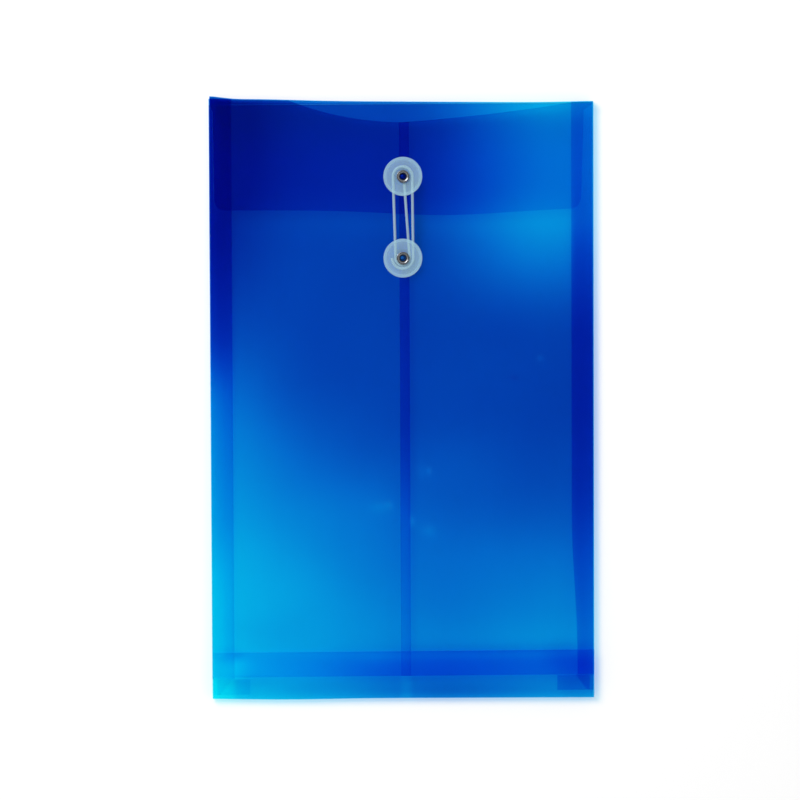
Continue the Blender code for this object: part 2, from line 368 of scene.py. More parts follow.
def colour4(colour):
    return colour if isinstance(colour, Wire) else (*colour, 1.0)


def material(name, build, *values):
    """The material of that name. On its first use, build makes its surface from its nodes, the place
    on the surface in metres and any further values."""
    made = bpy.data.materials.get(name)
    if made:
        return made
    made = bpy.data.materials.new(name)
    made.use_nodes = True
    tree = made.node_tree
    tree.nodes.clear()
    place = Wire.node(tree, "ShaderNodeTexCoord", output="Object")
    surface = build(tree, place, *values)
    Wire.node(tree, "ShaderNodeOutputMaterial", None, {"Surface": surface}, output=None)
    return made


def principled(tree, sockets):
    return Wire.node(tree, "ShaderNodeBsdfPrincipled", None, sockets)


def shader_mix(tree, factor, first, second):
    return Wire.node(tree, "ShaderNodeMixShader", None, {0: factor, 1: first, 2: second})


def painted(tree, name):
    """A value painted on the mesh's points."""
    return Wire.node(tree, "ShaderNodeAttribute", {"attribute_name": name}, output="Fac")


def tinted(tree, depth, tints):
    """Clear tinted film, from its pale tint through the middle one to the deep one."""
    pale, middling, deep = (
        Wire.node(tree, "ShaderNodeBsdfTransparent", None, {"Color": (*tint, 1.0)}) for tint in tints
    )
    shallow = shader_mix(tree, (depth * 2).clamped(), pale, middling)
    return shader_mix(tree, (depth * 2 - 1).clamped(), shallow, deep)


def clear_film(tree, depth, over):
    """The film's clear colour. Where it lies over other film, by the share painted on it, it lets
    more of the blue through."""
    settings = bpy.context.scene.envelope_film
    tints = [tuple(tint) for tint in (settings.pale, settings.middle, settings.deep)]
    alone = tinted(tree, depth, tints)
    if not over:
        return alone
    bluer = [(red, green, blue) for (red, green, _), blue in zip(tints, settings.over)]
    return shader_mix(tree, painted(tree, "over"), alone, tinted(tree, depth, bluer))


HAZE = 0.004  # share of the film's face that is hazy
SCUFF_HAZE = 0.03  # and what scuffs add to it
FACE_SHEEN = 0.005  # gloss of the film seen straight on
EDGE_SHEEN = 0.55  # and what it gains seen edge on
SHEEN_POWER = 5


def film_face(tree, place, over):
    """Tinted film: clear colour that deepens with the painted depth, which holds painted light and
    shade, a faint haze and a gloss.
    """
    settings = bpy.context.scene.envelope_film
    cloud = place.noise(16.0, 1.0)
    draw_lines = place.scaled((1.0, 0.04, 1.0)).noise(420.0, 1.0)
    scuff = place.scaled((1.0, 0.35, 1.0)).noise(160.0, 3.0, 0.7).ramp(0.62, 0.84)
    normal = (draw_lines * 0.6 + scuff * 0.4).bump(0.12, 0.0002)

    toned = (painted(tree, "depth") + (cloud - 0.5) * 0.12 + (draw_lines - 0.5) * 0.05).clamped()
    skin = principled(
        tree,
        {
            "Base Color": cloud.between(settings.skin, [c * 0.7 for c in settings.skin]),
            "Roughness": 0.3 + scuff * 0.3,
            "Normal": normal,
        },
    )
    hazy = shader_mix(tree, HAZE + scuff * SCUFF_HAZE, clear_film(tree, toned, over), skin)
    gloss = Wire.node(
        tree,
        "ShaderNodeBsdfAnisotropic",
        None,
        {"Color": (0.85, 0.93, 1.0, 1.0), "Roughness": 0.16, "Normal": normal},
    )
    facing = Wire.node(tree, "ShaderNodeLayerWeight", None, {"Blend": 0.5, "Normal": normal}, "Facing")
    sheen = FACE_SHEEN + facing**SHEEN_POWER * EDGE_SHEEN
    return shader_mix(tree, sheen, hazy, gloss)


def film_inside(tree, place, over):
    """The film's other face, tinted alone: the gloss of a sheet this thin shows through it."""
    return clear_film(tree, painted(tree, "depth"), over)


def film_edge(tree, place):
    """The film's cut edge, where the colour gathers."""
    cut = place.noise(1500.0, 3.0)
    return principled(
        tree,
        {
            "Base Color": cut.between((0.01, 0.20, 0.66), (0.03, 0.34, 0.82)),
            "Roughness": 0.35 + cut * 0.2,
            "Normal": cut.bump(0.2, 0.0001),
            "Alpha": 0.75,
        },
    )


FACE_ALPHA = 0.21  # of the discs' milky plastic
RIM_ALPHA = 0.17  # and what its thick rim adds


def milky_plastic(tree, place):
    """Milky moulded plastic, half clear, and fuller in the thick rim."""
    settings = bpy.context.scene.envelope_fastening
    cloud = place.noise(260.0, 3.0)
    grain = place.noise(4200.0, 2.0)
    scratch = place.scaled((1.0, 0.2, 1.0)).noise(900.0, 5.0, 0.7).ramp(0.58, 0.80)
    rim = painted(tree, "rim")
    return principled(
        tree,
        {
            "Base Color": cloud.between(settings.plastic, [min(1, c * 1.12) for c in settings.plastic]),
            "Roughness": 0.34 + scratch * 0.25,
            "Normal": (grain * 0.4 + scratch * 0.5).bump(0.15, 0.0001),
            "Alpha": FACE_ALPHA + rim * RIM_ALPHA,
        },
    )


def nickel_plate(tree, place):
    """Nickel plate with fine turning marks and dulled patches."""
    settings = bpy.context.scene.envelope_fastening
    dull = place.noise(700.0, 4.0).ramp(0.4, 0.7)
    marks = place.scaled((1.0, 1.0, 0.1)).noise(5200.0, 2.0)
    return principled(
        tree,
        {
            "Base Color": dull.between(settings.metal, [c * 0.72 for c in settings.metal]),
            "Metallic": 1.0,
            "Roughness": 0.22 + dull * 0.18,
            "Normal": (marks + dull * 0.5).bump(0.18, 0.0001),
        },
    )


def white_yarn(tree, place):
    """White braided yarn, with painted shade that makes it greyer down between its strands."""
    settings = bpy.context.scene.envelope_fastening
    lift = painted(tree, "lift")
    fibre = place.noise(5200.0, 4.0, 0.7)
    return principled(
        tree,
        {
            # Painted shade: the yarn is darker where the braid's strands sink in
            "Base Color": (lift * 0.8 + fibre * 0.3).clamped().between(
                [c * 0.62 for c in settings.yarn], settings.yarn
            ),
            "Roughness": 0.72 + fibre * 0.2,
            "Normal": fibre.bump(0.4, 0.0002),
            "Sheen Weight": 0.2,
        },
    )


def smooth(value, low, high):
    """0 at low, 1 at high, smooth between, for arrays and numbers."""
    t = np.clip((np.asarray(value, float) - low) / (high - low), 0, 1)
    return t * t * (3 - 2 * t)


def mound(x, y, centre, width, height):
    """A soft round mound, 1 at its centre."""
    return np.exp(-(((x - centre[0]) / width) ** 2) - ((y - centre[1]) / height) ** 2)


SEAM_X = 0.0013  # middle of the seam
STRIP = (0.1085, 0.1125)  # where the side strips over the gussets begin and are full

# Soft patches of painted light and shade in the film's colour, painted highlights among them at the
# lower left corner, from the top down: how much deeper, centre, width and height
PAINTED_LIGHT_PATCHES = (
    (-0.11, (0.095, 0.189), 0.050, 0.009),
    (0.33, (-0.121, 0.164), 0.034, 0.087),
    (-0.06, (0.005, 0.117), 0.110, 0.012),
    (-0.02, (0.080, 0.030), 0.045, 0.055),
    (0.03, (-0.060, 0.010), 0.030, 0.050),
    (-0.02, (0.035, 0.010), 0.045, 0.040),
    (-0.06, (-0.112, 0.000), 0.025, 0.050),
    (-0.05, (0.035, -0.038), 0.040, 0.020),
    (0.03, (0.095, -0.055), 0.050, 0.045),
    (-0.375, (-0.132, -0.062), 0.089, 0.105),
    (0.03, (-0.095, -0.065), 0.030, 0.030),
    (-0.05, (-0.030, -0.068), 0.035, 0.022),
    (-0.03, (-0.070, -0.125), 0.030, 0.030),
    (0.03, (0.035, -0.130), 0.030, 0.030),
    (0.04, (0.116, -0.130), 0.008, 0.040),
    (0.05, (-0.090, -0.152), 0.030, 0.015),
    (-0.06, (0.080, -0.160), 0.080, 0.014),
    (0.05, (0.050, -0.164), 0.080, 0.0030),
    (0.03, (0.085, -0.1655), 0.050, 0.0040),
    (0.22, (-0.119, -0.1658), 0.013, 0.0036),
    (-0.05, (-0.015, -0.168), 0.018, 0.0050),
    (-0.05, (0.050, -0.1683), 0.090, 0.0018),
    (0.06, (0.100, -0.169), 0.010, 0.0080),
    (-0.05, (-0.1075, -0.170), 0.008, 0.0036),
    (0.12, (0.114, -0.174), 0.014, 0.012),
    (0.05, (0.070, -0.176), 0.080, 0.012),
    (-0.12, (-0.118, -0.178), 0.012, 0.014),
    (-0.20, (-0.1245, -0.179), 0.003, 0.009),
    (0.09, (-0.106, -0.1828), 0.022, 0.0036),
    (-0.18, (-0.130, -0.185), 0.100, 0.035),
    (0.12, (0.012, -0.185), 0.050, 0.025),
    (0.06, (-0.062, -0.187), 0.036, 0.005),
    (-0.10, (-0.119, -0.189), 0.006, 0.0040),
    (0.10, (0.042, -0.191), 0.045, 0.005),
)


def depth_with_painted_light(x, y):
    """How deep the film's colour lies, from 0 to 1, with painted light and shade in it: a deep middle
    of painted shade that fades into painted light towards the bottom and the upper right, with soft
    patches of painted light and shade, and paler side strips with a painted glow, and a paler seam low
    down."""
    right_strip = smooth(x, *STRIP)
    left_strip = smooth(-x, *STRIP)
    # Painted shade in the deep middle, painted light towards the bottom and the upper right
    depth = 0.808 - 0.42 * smooth(-y, -0.016, 0.171)
    depth -= 0.47 * smooth(x, -0.012, 0.098) * smooth(y, 0.035, 0.115)
    depth -= 0.06 * smooth(x, 0.0, 0.1) * smooth(-y, 0.05, 0.15)
    depth += 0.024 * smooth(-y, 0.085, 0.145) * smooth(x, -0.020, 0.050)
    depth += 0.12 * right_strip * mound(x, y, (0.115, 0.098), 0.040, 0.030)
    for amount, centre, width, height in PAINTED_LIGHT_PATCHES:
        depth += amount * mound(x, y, centre, width, height)
    # Painted light: the left strip is painted paler in two bands, a glow along its edge
    painted_glow = 0.41 * smooth(-y, -0.045, 0.005) + 0.40 * smooth(-y, 0.075, 0.135)
    depth *= 1 - painted_glow * left_strip * (0.72 + 0.28 * smooth(-x, 0.1155, 0.1185))
    depth *= 1 - 0.11 * smooth(-y, 0.06, 0.15) * smooth(y, -0.172, -0.162) * right_strip
    in_seam = 1 - smooth(np.abs(x - SEAM_X), 0.0020, 0.0040)
    depth *= 1 - 0.15 * smooth(-y, 0.03, 0.10) * in_seam
    return np.clip(depth, 0, 1)


# Small dents in the front: place, width, length and paleness, which is a painted highlight where the
# dent catches the light, or painted shade where negative
DENTS = (
    ((0.0168, -0.0468), 0.0017, 0.0022, 0.26),
    ((0.0125, -0.0470), 0.0036, 0.0050, 0.12),
    ((-0.0095, -0.0690), 0.0026, 0.0024, 0.22),
    ((-0.0160, -0.0700), 0.0060, 0.0036, 0.16),
    ((0.0058, -0.0795), 0.0015, 0.0034, 0.34),
    ((0.0165, -0.0855), 0.0045, 0.0036, 0.20),
    ((0.0892, 0.0256), 0.0022, 0.0022, 0.24),
    ((0.0725, 0.0130), 0.0030, 0.0012, -0.16),
)
DENT_COLUMNS = ((-0.018, 0.024), (0.066, 0.096))  # where the front's grid is fine enough for them
DENT_ROWS = ((-0.094, -0.038), (0.006, 0.032))


def wave_height(x, y):
    """The front's slow waves, still beside the buttons and at the edges, and its small dents."""
    settings = bpy.context.scene.envelope_film
    slow = 0.6 * np.sin(x * 31 + 0.6) * np.cos(y * 17 + 0.4)
    slow += 0.4 * np.sin(x * 13 - y * 38 + 1.1)
    calm = smooth(HALF_WIDTH - np.abs(x), 0.004, 0.030)
    calm = calm * smooth(y - BAND_HIGH.y, 0.0, 0.030)
    for button in (UPPER, LOWER):
        calm = calm * smooth(np.hypot(x - button.x, y - button.y), 0.014, 0.045)
    height = settings.wave * slow * calm
    for place, width, length, _ in DENTS:
        height -= settings.dent * mound(x, y, place, width, length)
    return height


def dent_painted_highlight(x, y):
    """How much paler the front's film is painted at each dent: a painted highlight, with painted shade
    where the paleness is negative.
    """
    return sum(pale * mound(x, y, place, width, length) for place, width, length, pale in DENTS)


def paint(mesh, name, values):
    """Paints a value on each of the mesh's points."""
    attribute = mesh.attributes.new(name, "FLOAT", "POINT")
    attribute.data.foreach_set("value", np.ravel(values).astype(np.float32))


FILM_LOOKS = 3  # a sheet's shining face, its other face and its cut edge


def sheet_mesh(name, points, share, shift, glossy, over):
    """A closed sheet of film round a grid of points on its middle surface. Glossy says which rows
    of its upper face shine: the tight folds only let light through. Over says how far each point
    counts as lying over other film."""
    points = np.asarray(points, float)
    rows, columns = points.shape[:2]
    normal = np.cross(np.gradient(points, axis=1), np.gradient(points, axis=0))
    normal /= np.linalg.norm(normal, axis=2, keepdims=True)
    faces_up = (points + normal * HALF_FILM).reshape(-1, 3)
    faces_down = (points - normal * HALF_FILM).reshape(-1, 3)
    count = rows * columns
    index = np.arange(count).reshape(rows, columns)
    quads = np.stack([index[:-1, :-1], index[:-1, 1:], index[1:, 1:], index[1:, :-1]], -1)
    quads = quads.reshape(-1, 4)
    loop = list(index[0]) + list(index[1:, -1]) + list(index[-1, -2::-1]) + list(index[-2:0:-1, 0])
    rim = [(a, b, b + count, a + count) for a, b in zip(loop, loop[1:] + loop[:1])]
    faces = quads.tolist() + (quads[:, ::-1] + count).tolist() + rim
    mesh = bpy.data.meshes.new(name)
    mesh.from_pydata(np.concatenate([faces_up, faces_down]).tolist(), [], faces)
    over = np.broadcast_to(np.asarray(over, float), (rows, columns)).ravel()
    lies_over = FILM_LOOKS * (over[quads].max(axis=1) > 0)
    dull = np.repeat(np.where(np.broadcast_to(glossy, rows - 1), 0, 1), columns - 1)
    sides = np.concatenate([dull + lies_over, 1 + lies_over, np.full(len(rim), 2)])
    mesh.polygons.foreach_set("material_index", sides)
    # The painted depth holds painted light and shade as well as the film's colour
    depth = np.clip(depth_with_painted_light(points[..., 0], points[..., 1]) * share + shift, 0, 1)
    paint(mesh, "depth", [depth, depth])
    paint(mesh, "over", [over, over])
    bm = bmesh.new()
    bm.from_mesh(mesh)
    bmesh.ops.recalc_face_normals(bm, faces=bm.faces)
    bm.to_mesh(mesh)
    bm.free()
    mesh.shade_smooth()
    mesh.set_sharp_from_angle(angle=math.radians(40))
    return mesh


def film_piece(name, points, nodes, holes=(), share=1.0, shift=0.0, glossy=True, over=0.0):
    """A piece of film that stands for those nodes, with its eyelet holes cut. Share and shift set
    how deep its colour is beside the envelope's."""
    mesh = sheet_mesh(name, points, share, shift, glossy, over)
    for lies_over in (False, True):
        look = "blue_film_over" if lies_over else "blue_film"
        mesh.materials.append(material(look, film_face, lies_over))
        mesh.materials.append(material(f"{look}_inside", film_inside, lies_over))
        mesh.materials.append(material("blue_film_edge", film_edge))
    piece = bpy.data.objects.new(name, mesh)
    bpy.context.collection.objects.link(piece)
    for x, y in holes:
        punch(piece, x, y)
    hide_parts(*nodes)
    return piece


HOLE_RADIUS = 0.0024
HOLE_STEPS = 48


def punch(piece, x, y):
    """Cuts one eyelet hole through a piece of film."""
    bm = bmesh.new()
    bmesh.ops.create_cone(
        bm,
        cap_ends=True,
        segments=HOLE_STEPS,
        radius1=HOLE_RADIUS,
        radius2=HOLE_RADIUS,
        depth=HALF_WIDTH,
        matrix=Matrix.Translation((x, y, 0)),
    )
    drill_mesh = bpy.data.meshes.new("drill")
    bm.to_mesh(drill_mesh)
    bm.free()
    drill = bpy.data.objects.new("drill", drill_mesh)
    bpy.context.collection.objects.link(drill)
    cut = piece.modifiers.new("hole", "BOOLEAN")
    cut.operation = "DIFFERENCE"
    cut.solver = "EXACT"
    cut.object = drill
    graph = bpy.context.evaluated_depsgraph_get()
    holed = bpy.data.meshes.new_from_object(piece.evaluated_get(graph))
    piece.modifiers.clear()
    piece.data = holed
    bpy.data.objects.remove(drill, do_unlink=True)


PITCH = 0.0032  # of the film's grid
FINE_PITCH = 0.0010  # and round its dents
CROWDING = 0.25  # how far a crowded row departs from even steps
CREASE_STEPS = 14
LAYER_GAP = 0.0001  # between films that lie on each other

# How far the film's side edges lie inside their solids
BACK_INSET = 0.0008
FRONT_INSET = 0.0011
GUSSET_INSET = 0.0007
TAB_INSET = 0.0012


def steps(start, end, pitch):
    """Even steps of about that pitch."""
    count = max(2, round(abs(end - start) / pitch))
    return list(np.linspace(start, end, count + 1))


def refined(start, end, zones):
    """Steps of the film's grid, closer together inside the zones."""
    places = [start]
    way = math.copysign(1.0, end - start)
    while (end - places[-1]) * way > 0:
        inside = any(low <= places[-1] <= high for low, high in zones)
        places.append(places[-1] + way * (FINE_PITCH if inside else PITCH))
    places[-1] = end
    return np.array(places)


def crowded(start, end, pitch):
    """Steps that crowd towards both ends, for rounded corners."""
    count = max(8, round(abs(end - start) / pitch))
    turn = np.linspace(0, math.pi, count + 1)
    even = np.linspace(0, 1, count + 1)
    share = (1 - CROWDING) * even + CROWDING * (1 - np.cos(turn)) / 2
    return list(start + (end - start) * share)


def fold_shift(x):
    """How far the top fold lies beyond its solid: the film bows in between its sprung corners."""
    bow = -0.0028 - 0.0114 * x
    left = 0.0022 * mound(x, 0, (-0.126, 0), 0.013, 1) + 0.00095 * mound(x, 0, (-0.095, 0), 0.036, 1)
    right = 0.00105 * mound(x, 0, (0.130, 0), 0.030, 1)
    return float(bow + left + right)


def bottom_shift(x):
    """How far the bottom fold lies beyond its solid: it runs askew, with a bulge on the left."""
    return float(-0.0002 - 0.0105 * x - 0.0007 * mound(x, 0, (-0.075, 0), 0.040, 1))


def band_shift(x):
    """How far the film's edges under and over the band's weld lie above their solids."""
    return 0.0009 - 0.0043 * x


MOUTH_LEFT = (0.0725, 1.0)  # from the arc's lowest point to its end, and how full the arc is
MOUTH_RIGHT = (0.1115, 0.35)
MOUTH_REACH = 0.78  # how far up into the fold the mouth's ends reach, as a share of its radius


def mouth_y(x):
    """The front's top edge: a lopsided arc, steeper on the left, and up to the fold beside it."""
    settings = bpy.context.scene.envelope_film
    reach, full = MOUTH_LEFT if x < 0 else MOUTH_RIGHT
    out = min(1.0, abs(x) / reach)
    side = TOP_AXIS[0] + MOUTH_REACH * (TOP_RADIUS + fold_shift(x))
    return side - settings.mouth_drop * (1 - out) * (1 + full * out)


class ENVELOPE_OT_back(Operator):
    """Back panel, carried round the bottom fold into the band over the front"""

    bl_idname = "envelope.back"
    bl_label = "Back and bottom band"

    def execute(self, context):
        back_z = BACK_LOW.z + HALF_FILM
        band_z = BAND_LOW.z + HALF_FILM
        axis_y, axis_z = BOTTOM_AXIS
        way = [(y, back_z) for y in steps(BACK_HIGH.y, axis_y, PITCH)]
        radius = axis_z - back_z
        for i in range(1, CREASE_STEPS):
            turn = math.pi * i / CREASE_STEPS
            way.append((axis_y - radius * math.sin(turn), axis_z - radius * math.cos(turn)))
        flat_rows = len(way)
        way += [(y, band_z) for y in steps(axis_y, BAND_HIGH.y, PITCH / 2)]
        in_fold = np.arange(len(way) - 1)
        in_fold = (in_fold >= flat_rows - CREASE_STEPS) & (in_fold < flat_rows)
        half = HALF_WIDTH - BACK_INSET
        across = steps(-half, half, PITCH)
        points = []
        for y, z in way:
            near = float(smooth(BAND_HIGH.y - y, 0.0, BAND_HIGH.y - BOTTOM_Y))
            row = []
            for x in across:
                edge = band_shift(x) if z == band_z else 0.0
                row.append((x, y + near * bottom_shift(x) + (1 - near) * edge, z))
            points.append(row)
        piece = film_piece(
            "back_film",
            points,
            ("back_panel", "bottom_crease", "bottom_flap"),
            glossy=~in_fold,
            over=[[z == band_z and y > LEFT_LOW.y] for y, z in way],
        )
        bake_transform(piece)
        return {"FINISHED"}


SEAM_OVER = 0.6  # how far the seam's film counts as lying over other film


class ENVELOPE_OT_front(Operator):
    """The two halves of the front, which overlap at the seam"""

    bl_idname = "envelope.front"
    bl_label = "Front halves"

    def execute(self, context):
        seam = context.scene.envelope_film.seam / 2
        for side, name, low in SIDES:
            z = low.z + HALF_FILM
            ends = sorted((SEAM_X - side * seam, side * (HALF_WIDTH - FRONT_INSET)))
            x = refined(*ends, DENT_COLUMNS)
            foot = np.array([low.y + band_shift(place) for place in x])
            mouth = np.array([mouth_y(place) for place in x])
            rows = refined(low.y, LEFT_HIGH.y, DENT_ROWS)
            share = (rows - rows[0]) / (rows[-1] - rows[0])
            y = foot + (mouth - foot) * share[:, None]
            x = np.broadcast_to(x, y.shape)
            points = np.stack([x, y, z + wave_height(x, y)], -1)
            in_band = y < BAND_HIGH.y + band_shift(x)
            in_seam = abs(x - SEAM_X) < seam + LAYER_GAP
            piece = film_piece(
                f"front_{name}_film",
                points,
                (f"front_{name}_panel",),
                [(LOWER.x, LOWER.y)],
                # The dents' paleness is a painted highlight on the film
                shift=-dent_painted_highlight(x, y),
                over=np.maximum(in_band, SEAM_OVER * in_seam),
            )
            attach(piece, "front")
        return {"FINISHED"}


GUSSET_TAPER = 0.0036  # how much narrower the right gusset is at its foot
GUSSET_FOLD = 0.0006  # radius of the pleat's inner fold
GUSSET_SHARE = 0.57  # how deep a gusset's colour is beside the envelope's


class ENVELOPE_OT_gussets(Operator):
    """The folded sides, each one strip of film from the back's edge to the front's"""

    bl_idname = "envelope.gussets"
    bl_label = "Side gussets"

    def execute(self, context):
        inner = MOUTH_HALF_WIDTH
        outer = HALF_WIDTH - GUSSET_INSET
        turn_x = inner + GUSSET_FOLD
        back_z = BACK_HIGH.z + HALF_FILM + LAYER_GAP

        def half(outer_z, turn_z):
            return [
                (outer + (turn_x - outer) * share, outer_z + (turn_z - outer_z) * share)
                for share in np.linspace(0, 1, 7)
            ]

        for side, name, low in SIDES:
            front_z = low.z - HALF_FILM - LAYER_GAP
            middle_z = (back_z + front_z) / 2
            profile = half(back_z, middle_z - GUSSET_FOLD)
            for turn in np.linspace(-math.pi / 2, math.pi / 2, 6)[1:-1]:
                out = GUSSET_FOLD * math.cos(turn)
                profile.append((turn_x - out, middle_z + GUSSET_FOLD * math.sin(turn)))
            profile += half(front_z, middle_z + GUSSET_FOLD)[::-1]
            along = steps(LEFT_LOW.y, mouth_y(side * (inner + outer) / 2), PITCH * 2)
            points = []
            for y in along:
                narrow = GUSSET_TAPER * float(smooth(-y, 0.075, 0.170)) if side > 0 else 0.0
                row = []
                for x, z in profile:
                    row.append((side * (x + narrow * (outer - x) / (outer - inner)), y, z))
                points.append(row)
            piece = film_piece(
                f"{name}_gusset_film",
                points,
                (f"{name}_gusset_back", f"{name}_gusset_front"),
                share=GUSSET_SHARE,
                glossy=False,
                over=1.0,
            )
            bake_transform(piece)
        return {"FINISHED"}


TAIL_INNER = (0.1120, 0.1195)  # inner edge of the gusset's folded tail, at its top and its foot
TAIL_OUTER = 0.1212
TAB_RISE = 0.0005  # how far the tabs reach up to the front's foot
TAB_SHARES = {"left": 0.35, "right": 1.0}  # how deep their colour is: the left one hardly shows
TAB_STEPS = 12


class ENVELOPE_OT_tabs(Operator):
    """The gussets' tabs under the bottom band, each with its tail folded over it"""

    bl_idname = "envelope.tabs"
    bl_label = "Corner tabs"

    def execute(self, context):
        z = TAB_LOW.z + HALF_FILM
        outer = HALF_WIDTH - TAB_INSET
        for side, name, _ in SIDES:
            for layer, (top, foot), end, lift in (
                ("tab", (TAB_LOW.x, TAB_LOW.x), outer, 0.0),
                ("tail", TAIL_INNER, TAIL_OUTER, -FILM - LAYER_GAP),
            ):
                points = []
                for rise in np.linspace(0, 1, TAB_STEPS):
                    y = TAB_LOW.y + (TAB_HIGH.y + TAB_RISE - TAB_LOW.y) * rise
                    inner = foot + (top - foot) * rise
                    across = np.linspace(end, inner, TAB_STEPS)
                    points.append([(side * x, y, z + lift) for x in across])
                piece = film_piece(
                    f"{name}_{layer}_film",
                    points,
                    (f"{name}_corner_tab",),
                    share=TAB_SHARES[name],
                    glossy=False,
                    over=1.0,
                )
                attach(piece, "front")
        return {"FINISHED"}


FLAP_BULGE = (0.0285, 0.055)  # middle and width of the bulge in the flap's free edge
FLAP_CORNER = 0.006  # radius of its corners
FLAP_ROWS = 40
FLAP_SHIFT = -0.08  # how deep its colour is beside the envelope's
LEFT_TRIM = 0.3  # share of the right side's cut and taper that its left side has


class ENVELOPE_OT_flap(Operator):
    """The closing flap, with the fold that carries it over from the back"""

    bl_idname = "envelope.flap"
    bl_label = "Closing flap"

    def execute(self, context):
        settings = context.scene.envelope_film
        end_x = HALF_WIDTH - settings.flap_inset
        fold_x = HALF_WIDTH - FRONT_INSET
        flat_x = end_x - FLAP_CORNER
        end_y = FLAP_LOW.y + settings.flap_bow
        back_z = BACK_LOW.z + HALF_FILM
        flap_z = FLAP_LOW.z + HALF_FILM
        axis_y, axis_z = TOP_AXIS
        radius = axis_z - back_z
        shares = crowded(-1, 1, PITCH / fold_x)[::-1]  # so that the outer face shines

        def free_edge(x):
            reach = abs(x)
            if reach > flat_x:
                turn = min(1.0, (reach - flat_x) / FLAP_CORNER)
                return end_y + FLAP_CORNER * (1 - math.sqrt(1 - turn * turn))
            bulge = math.exp(-(((x - FLAP_BULGE[0]) / FLAP_BULGE[1]) ** 2))
            return end_y - settings.flap_bow * bulge

        points = []
        for i in range(CREASE_STEPS + 1):
            turn = math.pi * i / CREASE_STEPS
            row = []
            for share in shares:
                x = share * fold_x
                y = axis_y + (radius + fold_shift(x)) * math.sin(turn)
                row.append((x, y, axis_z - radius * math.cos(turn)))
            points.append(row)
        for down in np.linspace(0, 1, FLAP_ROWS)[1:]:
            row = []
            for share in shares:
                y = axis_y + (free_edge(share * end_x) - axis_y) * down
                cut = settings.flap_cut * float(smooth(axis_y - y, 0.0, 0.005))
                taper = (fold_x - end_x - settings.flap_cut) * down
                trim = 1.0 if share > 0 else LEFT_TRIM
                x = share * (fold_x - trim * (cut + taper))
                wave = float(wave_height(x, y)) * float(smooth(axis_y - y, 0.0, 0.02))
                row.append((x, y, flap_z + wave))
            points.append(row)
        piece = film_piece(
            "flap_film",
            points,
            ("closure_flap", "top_crease"),
            [(UPPER.x, UPPER.y)],
            shift=FLAP_SHIFT,
            # Painted shade along the top fold: the flap counts less as lying over film towards the
            # fold, so it lets less blue through there
            over=smooth(TOP_Y - np.array(points)[..., 1], 0.003, 0.045),
            glossy=np.arange(len(points) - 1) >= CREASE_STEPS,
        )
        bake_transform(piece)
        return {"FINISHED"}


RING_STEPS = 96
RIM_START = 0.78  # share of a turned piece's radius where its thick rim begins
RIM_FULL = 0.86


def turned(name, node, profile, centre, look, body):
    """A ring that stands for that node, turned round a vertical axis through centre, from a closed
    profile of (radius, z)."""
    bm = bmesh.new()
    corners = [bm.verts.new((centre.x + r, centre.y, z)) for r, z in profile]
    edges = [bm.edges.new(pair) for pair in zip(corners, corners[1:] + corners[:1])]
    bmesh.ops.spin(
        bm,
        geom=corners + edges,
        cent=(centre.x, centre.y, 0),
        axis=(0, 0, 1),
        angle=2 * math.pi,
        steps=RING_STEPS,
        use_merge=True,
    )
    bmesh.ops.recalc_face_normals(bm, faces=bm.faces)
    mesh = bpy.data.meshes.new(name)
    bm.to_mesh(mesh)
    bm.free()
    mesh.shade_smooth()
    mesh.set_sharp_from_angle(angle=math.radians(50))
    places = np.array([v.co for v in mesh.vertices])
    reach = np.hypot(places[:, 0] - centre.x, places[:, 1] - centre.y)
    widest = reach.max()
    paint(mesh, "rim", smooth(reach, widest * RIM_START, widest * RIM_FULL))
    mesh.materials.append(material(look.__name__, look))
    piece = bpy.data.objects.new(name, mesh)
    bpy.context.collection.objects.link(piece)
    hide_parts(node)
    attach(piece, body)
    return piece


def arc(centre, radius, start, end, count):
    """Points of an arc in the (radius, z) plane, angles in degrees."""
    turns = np.radians(np.linspace(start, end, count))
    return [(centre[0] + radius * math.cos(t), centre[1] + radius * math.sin(t)) for t in turns]


DISC_INSET = 0.0004  # how much smaller a disc is than its solid
DISC_DISH = 0.00015  # how far its face lies below its rim
DISC_BEAD = 0.0016  # width of the rim
BEAD_SLOPE = 0.0003  # and of the slope inside it
DISC_HUB = 0.0022  # width of the flat round the bore
RIPPLES = 11
RIPPLE_DEPTH = 0.00003
BORE_CHAMFER = 0.0002


class ENVELOPE_OT_discs(Operator):
    """The two milky discs that hold the cord down"""

    bl_idname = "envelope.discs"
    bl_label = "Button discs"

    def execute(self, context):
        for which, centre, _ in BUTTONS:
            node = f"{which}_disc"
            low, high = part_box(node)
            outer = high.x - centre.x - DISC_INSET
            edge = (high.z - low.z) / 2
            face = high.z - DISC_DISH
            profile = [(HOLE_RADIUS, low.z), (outer - edge, low.z)]
            profile += arc((outer - edge, low.z + edge), edge, -90, 90, 9)[1:]
            profile += [(outer - DISC_BEAD, high.z)]
            start = outer - DISC_BEAD - BEAD_SLOPE
            width = start - HOLE_RADIUS - DISC_HUB
            for i in range(1, RIPPLES + 1):
                profile.append((start - width * i / RIPPLES, face - RIPPLE_DEPTH * (i % 2)))
            profile += [(HOLE_RADIUS + BORE_CHAMFER, face), (HOLE_RADIUS, face - BORE_CHAMFER)]
            name = f"{which}_disc_turned"
            disc = turned(name, node, profile, centre, milky_plastic, node)
            disc.visible_shadow = False  # its milky plastic passes the light on
        return {"FINISHED"}


